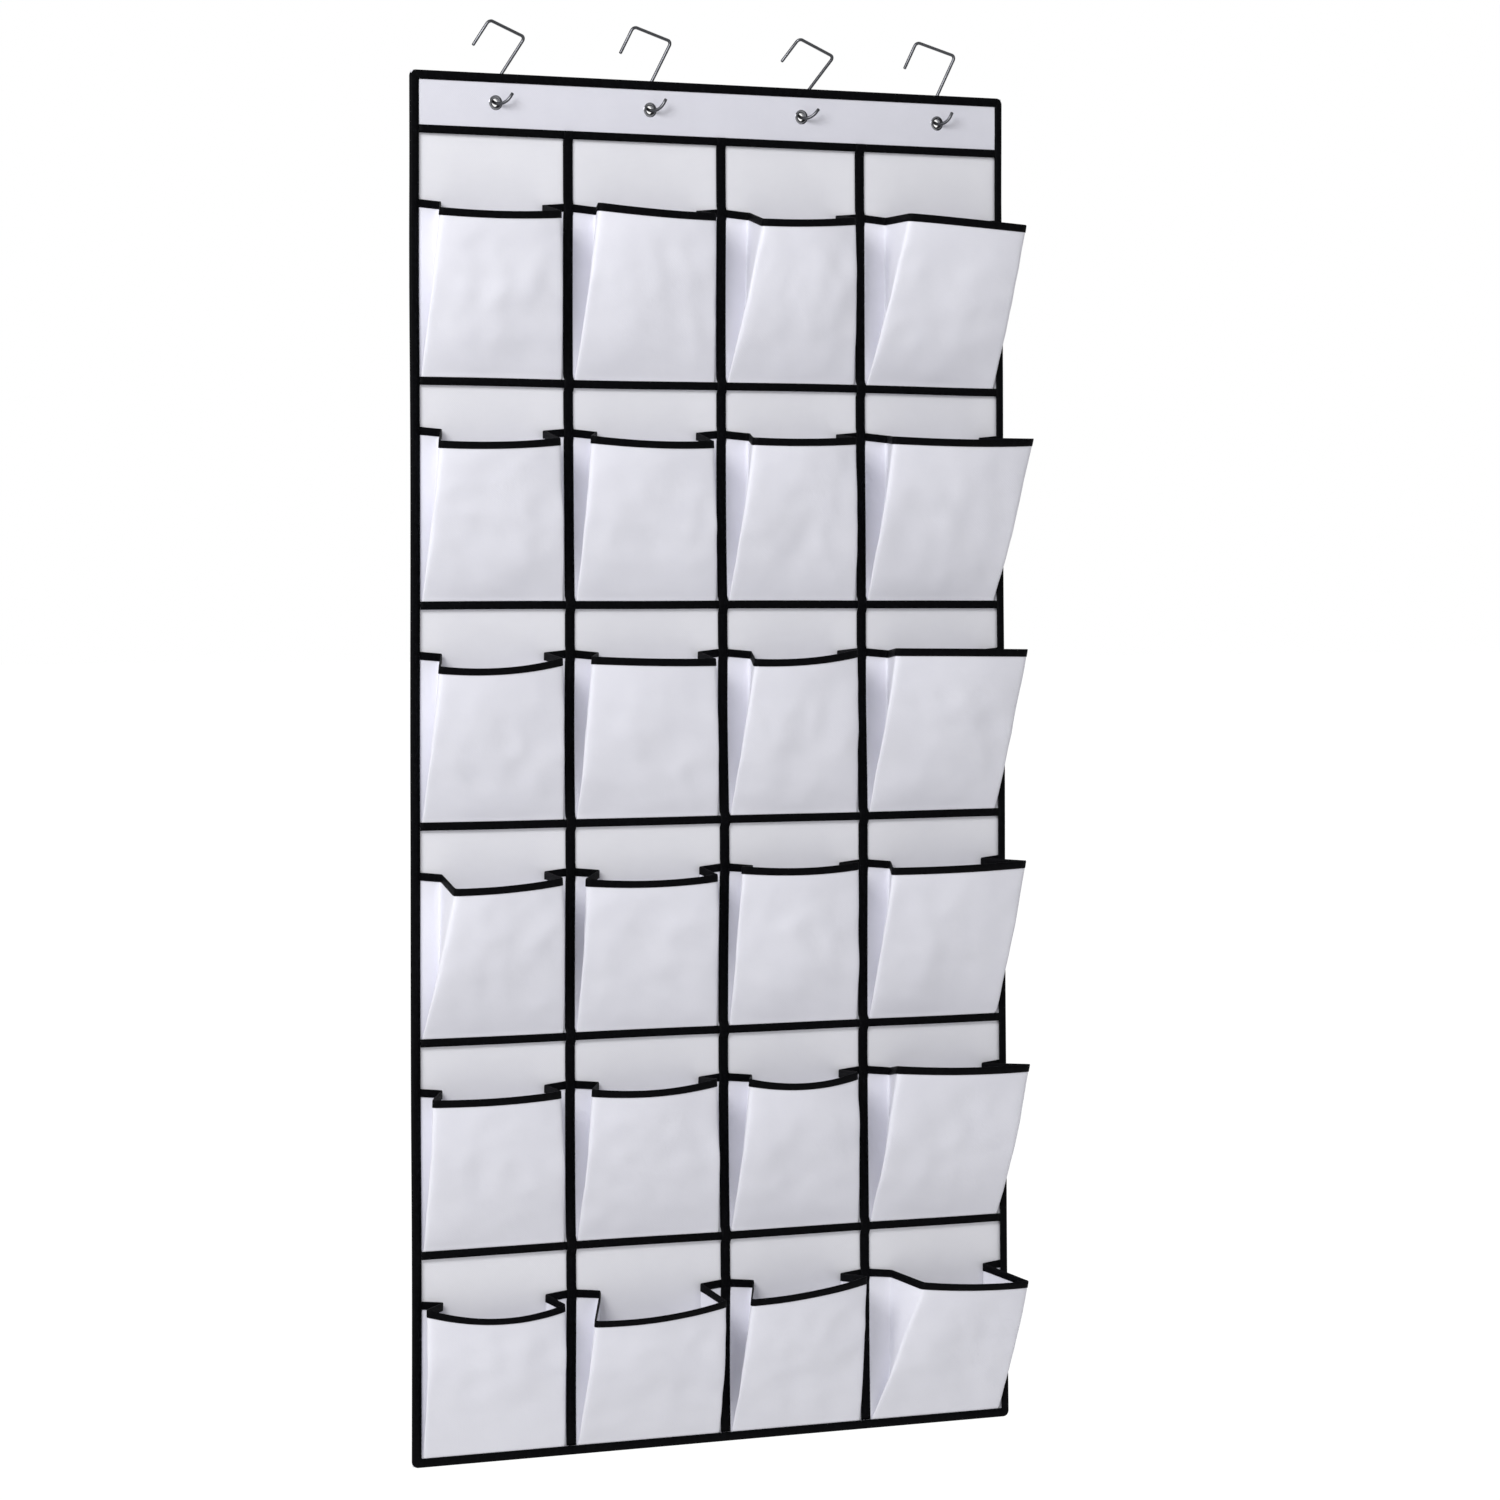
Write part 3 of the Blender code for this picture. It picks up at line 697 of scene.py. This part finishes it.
# %% [markdown]
# ## Stitches
# Every tape is sewn down near its edges with a lockstitch. Each stitch is a small raised yarn, 3 mm
# long, laid along a line of points that also says which way is outward. The rim tapes are left plain.
# %% Thread
STITCH = 0.0030
STITCH_PITCH = 0.0044
YARN = 0.0005
EDGE_GAP = 0.0012             # stitch line, in from the edge of the tape
SURFACE = 0.0003              # top of the tape, forward of its middle
SEAM_STEP = 0.006             # a seam follows the hang of the cloth in steps of about this


def stitch_along(bm, line):
    """Yarns along a line of (point, outward direction) pairs."""
    travelled, goal = 0.0, STITCH_PITCH / 2
    for (start, outward), (end, _) in zip(line, line[1:]):
        length = (end - start).length
        along = (end - start).normalized()
        side = outward.cross(along).normalized()
        while goal < travelled + length:
            axes = Matrix((along * STITCH, side * YARN, along.cross(side) * YARN)).transposed().to_4x4()
            middle = start.lerp(end, (goal - travelled) / length)
            bmesh.ops.create_cube(bm, size=1.0, matrix=Matrix.Translation(middle) @ axes)
            goal += STITCH_PITCH
        travelled += length


def straight_seam(bm, start, end, forward):
    """Stitches between two (x, z) places on the panel, at the height above it that forward(z) gives."""
    (x0, z0), (x1, z1) = start, end
    steps = max(2, round(math.hypot(x1 - x0, z1 - z0) / SEAM_STEP))
    spots = [(x0 + (x1 - x0) * i / steps, z0 + (z1 - z0) * i / steps) for i in range(steps + 1)]
    stitch_along(bm, [(hang(at(x, forward(z) + SURFACE, z)), Vector((0, -1, 0))) for x, z in spots])


def add_thread(name, bm):
    return add_piece(name, bm, thread)


bm = bmesh.new()
for node in ["header_tape"] + [f"row_tape_{i}" for i in range(1, ROWS)]:
    low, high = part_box(node)
    for z in (low.z + EDGE_GAP, high.z - EDGE_GAP):
        straight_seam(bm, (low.x, z), (high.x, z), lambda z: ROW_TAPE_FORWARD)
add_thread("thread_in_row_tapes", bm)
bm = bmesh.new()
for number in range(1, COLUMNS):
    low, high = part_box(f"column_tape_{number}")
    for x in (low.x + EDGE_GAP, high.x - EDGE_GAP):
        straight_seam(bm, (x, low.z), (x, high.z), column_forward)
add_thread("thread_in_column_tapes", bm)
bm = bmesh.new()
inset = BINDING - EDGE_GAP
west, east, south, north = LEFT + inset, RIGHT - inset, BOTTOM + inset, TOP - inset
for start, end in (((west, south), (east, south)), ((east, south), (east, north)),
                   ((east, north), (west, north)), ((west, north), (west, south))):
    straight_seam(bm, start, end, lambda z: BINDING_FOLD[0][1])
add_thread("thread_in_binding", bm)

# %% [markdown]
# ## Eyelets
# A two-part eyelet is pressed from thin sheet: a domed flange in front, a barrel through the cloth and
# a lip rolled over a washer behind. Each part is a closed outline turned once round the hole with
# `spin`, and `use_merge` closes the last step.
# %% Turned eyelets and washers
EYELET_HOLE = 0.0046
EYELET_BARREL = 0.0053
EYELET_STEPS = 48
DOME_HEIGHT = 0.0010
LIP_RADIUS, LIP_HEIGHT = 0.0070, 0.0007
WASHER_GAP, WASHER_ROUNDING = 0.0004, 0.0002


def turned(outline, middle):
    """A closed outline of (radius, y) turned about the axis along Y through middle."""
    bm = bmesh.new()
    verts = [bm.verts.new((middle.x + radius, y, middle.z)) for radius, y in outline]
    edges = [bm.edges.new((a, b)) for a, b in zip(verts, verts[1:] + verts[:1])]
    bmesh.ops.spin(bm, geom=verts + edges, cent=middle, axis=(0, 1, 0), angle=2 * math.pi,
                   steps=EYELET_STEPS, use_merge=True)
    bmesh.ops.recalc_face_normals(bm, faces=bm.faces)
    return bm


def flange_outline(low, high, outer):
    """Dome in front, bore, then the rolled lip behind; y runs back from the front of the dome."""
    base = low.y + DOME_HEIGHT
    half, centre = (outer - EYELET_HOLE) / 2, (outer + EYELET_HOLE) / 2
    dome = [(centre + half * math.cos(math.radians(a)), base - DOME_HEIGHT * math.sin(math.radians(a)))
            for a in range(0, 181, 15)]
    lip_centre = (EYELET_HOLE + LIP_RADIUS) / 2
    lip = [(lip_centre - (LIP_RADIUS - EYELET_HOLE) / 2 * math.cos(math.radians(a)),
            high.y - LIP_HEIGHT + LIP_HEIGHT * math.sin(math.radians(a))) for a in range(0, 181, 20)]
    return dome + lip + [(EYELET_BARREL, high.y - LIP_HEIGHT), (EYELET_BARREL, base)]


def washer_outline(low, high, outer):
    inner = EYELET_BARREL + WASHER_GAP
    rim = WASHER_ROUNDING
    return [(inner, low.y), (outer - rim, low.y), (outer, low.y + rim), (outer, high.y - rim),
            (outer - rim, high.y), (inner + rim, high.y), (inner, high.y - rim)]


for number, (middle, low, high) in enumerate(eyelets, start=1):
    outer = (high.x - low.x) / 2
    add_piece(f"eyelet_ring_{number}", turned(flange_outline(low, high, outer), middle),
              eyelet_nickel, stands_for=[f"eyelet_{number}"])
    back_low, back_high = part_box(f"eyelet_washer_{number}")
    add_piece(f"eyelet_back_ring_{number}", turned(washer_outline(back_low, back_high, outer), middle),
              eyelet_nickel, stands_for=[f"eyelet_washer_{number}"])
print("eyelet bore", EYELET_HOLE * 2000, "mm")

# %% [markdown]
# ## Door hooks
# A hook is one length of 3.6 mm wire: a J through the eyelet, a shank up behind the header, a bar over
# the door and a short drop behind it. The wire is a circle extruded along that line, which is worked
# out in the hook's own plane. Then the whole hook takes its slack attitude: a twist about the shank, a
# lean forward and a tilt to the side, all about the middle of its eyelet, where its joint is.
# %% Hook shape
WIRE = 0.0018                 # radius
J_RADIUS, TIP = 0.014, 0.005
RISE, BAR, DROP, BEND = 0.080, 0.056, 0.034, 0.005
TWIST, LEAN = 30.0, 11.0
TILT = (31.0, 24.0, 36.0, 22.0)


def arc(centre, radius, start, end, steps):
    angles = [math.radians(start + (end - start) * i / steps) for i in range(steps + 1)]
    return [Vector((0, -(centre[0] + radius * math.cos(a)), centre[1] + radius * math.sin(a)))
            for a in angles]


def hook_line():
    far = -J_RADIUS - BAR
    line = [Vector((0, -J_RADIUS, J_RADIUS + TIP))]
    line += arc((0.0, J_RADIUS), J_RADIUS, 0, -180, 28)
    line += arc((-J_RADIUS - BEND, RISE - BEND), BEND, 0, 90, 10)
    line += arc((far + BEND, RISE - BEND), BEND, 90, 180, 10)
    return line + [Vector((0, -far, RISE - DROP))]


def swept_wire(line, sides=20):
    """A circle pushed along a line that lies in a plane of constant x, with rounded ends."""
    bm = bmesh.new()
    side_axis = Vector((1, 0, 0))
    rings = []
    caps = []                 # (place, share of the radius) of the rings that round off each end
    for end, inward in ((0, 1), (-1, -1)):
        toward = (line[end + inward] - line[end]).normalized()
        caps.append([(line[end] + toward * WIRE * 0.45 * (1 - math.sin(math.radians(a))),
                      math.cos(math.radians(a)) * 0.999 + 0.001) for a in (66, 33)])
    points = caps[0] + [(p, 1.0) for p in [line[0].lerp(line[1], 0.12)] + line[1:-1]]
    points += [(line[-1].lerp(line[-2], 0.05), 1.0)] + caps[1][::-1]
    for i, (point, scale) in enumerate(points):
        along = (points[min(i + 1, len(points) - 1)][0] - points[max(i - 1, 0)][0]).normalized()
        up = side_axis.cross(along).normalized()
        ring = [bm.verts.new(point + (side_axis * math.cos(2 * math.pi * k / sides)
                                      + up * math.sin(2 * math.pi * k / sides)) * WIRE * scale)
                for k in range(sides)]
        rings.append([bm.edges.new((a, b)) for a, b in zip(ring, ring[1:] + ring[:1])])
    for first, second in zip(rings, rings[1:]):
        bmesh.ops.bridge_loops(bm, edges=first + second)
    bmesh.ops.holes_fill(bm, edges=rings[0] + rings[-1], sides=sides)
    bmesh.ops.recalc_face_normals(bm, faces=bm.faces)
    return bm


for number, tilt in enumerate(TILT, start=1):
    pivot = Vector(frame["joints"][number - 1]["pos_m"])
    turn = Matrix.Rotation(math.radians(tilt), 4, "Y") @ Matrix.Rotation(math.radians(LEAN), 4, "X")
    turn = turn @ Matrix.Rotation(math.radians(TWIST), 4, "Z")
    bm = swept_wire(hook_line())
    bmesh.ops.transform(bm, matrix=Matrix.Translation(pivot) @ turn, verts=bm.verts)
    add_piece(f"hook_wire_{number}", bm, wire_nickel, body=f"hook_{number}",
              stands_for=[f"door_hook_{number}"])
print("hook wire", WIRE * 2000, "mm thick")

# %% [markdown]
# ## Studio
# A white floor under a white sky, and one large soft light from the upper left. The floor is plain white
# to the camera and a softer glow to everything else, so the cloth falls off towards the bottom. Bright
# metal shows only what is around it, so four dark cards that the camera doesn't see give the wire and
# the eyelets the black streaks that make them look like metal.
# %% Floor, sky and lights
bpy.context.scene.view_settings.view_transform = "Standard"
FLOOR_DROP = 0.16             # floor, below the bottom of the organizer
SKY_LIGHT = 0.53              # what the white studio adds from all round
FLOOR_LIGHT = 0.74            # what the floor sends up; the camera sees it as plain white
bm = bmesh.new()
bmesh.ops.create_grid(bm, x_segments=1, y_segments=1, size=60)
bmesh.ops.translate(bm, verts=bm.verts, vec=(0, 0, BOTTOM - FLOOR_DROP))
floor_mesh = bpy.data.meshes.new("studio_floor")
bm.to_mesh(floor_mesh)
bm.free()
floor_paint, floor_shader = new_material("lit_white_floor", roughness=0.9)
seen = add_node(floor_paint, "ShaderNodeLightPath").outputs["Is Camera Ray"]
glow = add_node(floor_paint, "ShaderNodeMapRange", Value=seen, To_Min=FLOOR_LIGHT, To_Max=1.0)
link(floor_paint, glow.outputs["Result"], floor_shader.inputs["Emission Strength"])
floor_shader.inputs["Base Color"].default_value = linear("#202020")
floor_shader.inputs["Emission Color"].default_value = linear("#FFFFFF")
floor_mesh.materials.append(floor_paint)
floor = bpy.data.objects.new("studio_floor", floor_mesh)
bpy.context.scene.collection.objects.link(floor)

world = bpy.data.worlds.new("white studio")
world.use_nodes = True
sky = world.node_tree.nodes["Background"]
sky.inputs["Color"].default_value = linear("#FFFFFF")
sky.inputs["Strength"].default_value = SKY_LIGHT
backdrop = add_node(world, "ShaderNodeBackground", Color=linear("#FFFFFF"))
seen = add_node(world, "ShaderNodeLightPath").outputs["Is Camera Ray"]
either = add_node(world, "ShaderNodeMixShader", _0=seen, _1=sky.outputs[0], _2=backdrop.outputs[0])
link(world, either.outputs[0], world.node_tree.nodes["World Output"].inputs["Surface"])
bpy.context.scene.world = world


def area_light(name, place, aim, size, watts):
    data = bpy.data.lights.new(name, "AREA")
    data.shape = "SQUARE"
    data.size = size
    data.energy = watts
    lamp = bpy.data.objects.new(name, data)
    lamp.location = place
    lamp.rotation_euler = (Vector(aim) - Vector(place)).to_track_quat("-Z", "Y").to_euler()
    lamp.visible_camera = False
    bpy.context.scene.collection.objects.link(lamp)


def dark_card(name, corner, reach, tall):
    """An upright black card from a lower corner, seen only in reflections and as shade."""
    bm = bmesh.new()
    first = bm.verts.new(corner)
    second = bm.verts.new(Vector(corner) + Vector(reach))
    edge = bm.edges.new((first, second))
    raised = bmesh.ops.extrude_edge_only(bm, edges=[edge])["geom"]
    top = [v for v in raised if isinstance(v, bmesh.types.BMVert)]
    bmesh.ops.translate(bm, verts=top, vec=(0, 0, tall))
    mesh = bpy.data.meshes.new(name)
    bm.to_mesh(mesh)
    bm.free()
    mesh.materials.append(card_paint)
    card = bpy.data.objects.new(name, mesh)
    bpy.context.scene.collection.objects.link(card)
    card.visible_camera = False


card_paint, card_shader = new_material("matt_black_card", roughness=0.9)
card_shader.inputs["Base Color"].default_value = linear("#101010")
area_light("key", (-3.0, PANEL_BACK - 2.3, TOP + 1.2), (0.0, PANEL_BACK, TOP - 0.5), 1.6, 130)
dark_card("left_card", (-1.6, PANEL_BACK - 0.3, TOP - 0.15), (0.2, 0.9, 0.0), 0.7)
dark_card("back_card", (-0.6, PANEL_BACK + 0.5, TOP + 0.01), (1.9, 0.0, 0.0), 0.5)
dark_card("right_card", (1.5, PANEL_BACK - 2.0, BOTTOM), (0.3, 1.4, 0.0), 2.3)
dark_card("front_card", (-0.7, PANEL_BACK - 2.6, TOP + 0.4), (1.6, 0.0, 0.0), 0.5)

# %% [markdown]
# ## Camera
# A long lens from about 6.3 m, 30 degrees to the left of the organizer and level with the lower half of
# its second row of pockets. It looks down by less than two degrees, so upright seams stay upright to
# the eye.
# %% Camera
LENS = 134.8                  # mm
EYE = (-3.1155, PANEL_BACK - 5.478, TOP - 0.5476)
LOOK_DOWN, TURN = 1.79, -30.0
camera_data = bpy.data.cameras.new("camera")
camera_data.lens = LENS
camera_data.sensor_width = 36.0
camera_data.clip_end = 200.0
camera = bpy.data.objects.new("camera", camera_data)
camera.location = EYE
camera.rotation_euler = (math.radians(90 - LOOK_DOWN), 0.0, math.radians(TURN))
bpy.context.scene.collection.objects.link(camera)
bpy.context.scene.camera = camera
